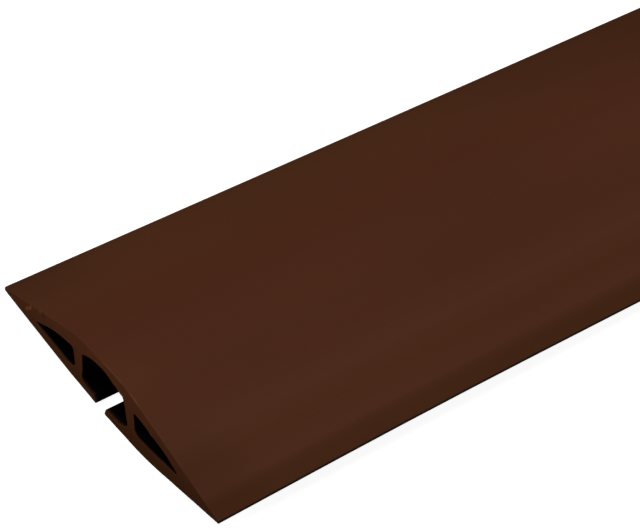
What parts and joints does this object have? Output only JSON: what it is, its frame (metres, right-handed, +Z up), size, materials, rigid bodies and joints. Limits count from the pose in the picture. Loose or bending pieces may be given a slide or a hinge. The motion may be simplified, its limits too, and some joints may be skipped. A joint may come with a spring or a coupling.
{
  "type": "floor cable cover",
  "caption": "Soft PVC floor cable cover: a low domed strip with thin lips, a cable channel slotted through the underside and a closed hollow along each wing.",
  "frame": {"origin": "on the floor under the middle of the strip", "axes": "+X along the strip, +Y across it to the lip on the slot's side, +Z up from the floor"},
  "size_m": [0.9144, 0.07, 0.0131],
  "materials": {
    "brown_soft_pvc": "satin"
  },
  "bodies": {
    "root": {"cover_strip": "brown_soft_pvc"}
  },
  "joints": []
}
